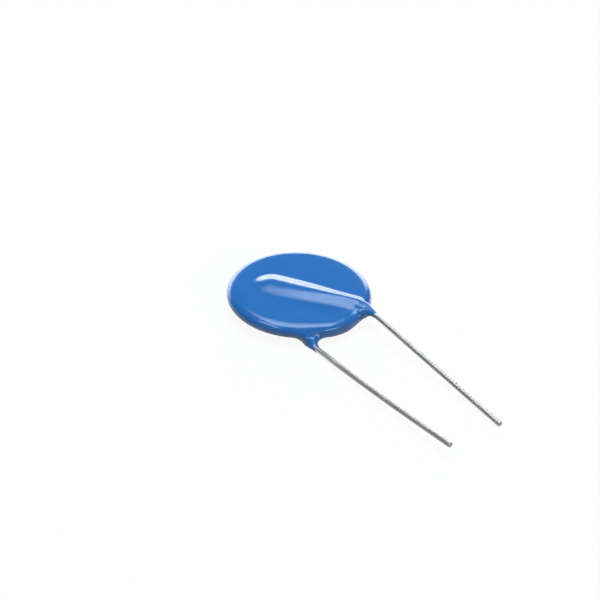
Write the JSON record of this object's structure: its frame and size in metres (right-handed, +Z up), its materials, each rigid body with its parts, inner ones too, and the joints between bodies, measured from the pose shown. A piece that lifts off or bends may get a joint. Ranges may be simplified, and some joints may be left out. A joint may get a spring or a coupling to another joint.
{
  "type": "varistor",
  "caption": "Disc varistor with a glossy blue dipped resin coat and long tinned wire leads, for clamping voltage surges on a circuit board.",
  "frame": {"origin": "middle of the part's footprint, on the table it rests on", "axes": "+Z up from the table, -Y along the leads to their tips, +X across the leads toward the upper one"},
  "size_m": [0.0214, 0.0539, 0.0044],
  "materials": {
    "resin": "glossy dipped resin",
    "ceramic": "fired, matt",
    "silver": "fired silver paste, matt",
    "solder": "reflowed, satin",
    "tinned_wire": "tin plated, satin"
  },
  "bodies": {
    "root": {"resin_coat": "resin", "ceramic_disc": "ceramic", "upper_electrode": "silver", "lower_electrode": "silver", "upper_solder": "solder", "lower_solder": "solder", "upper_lead": "tinned_wire", "lower_lead": "tinned_wire"}
  },
  "joints": []
}
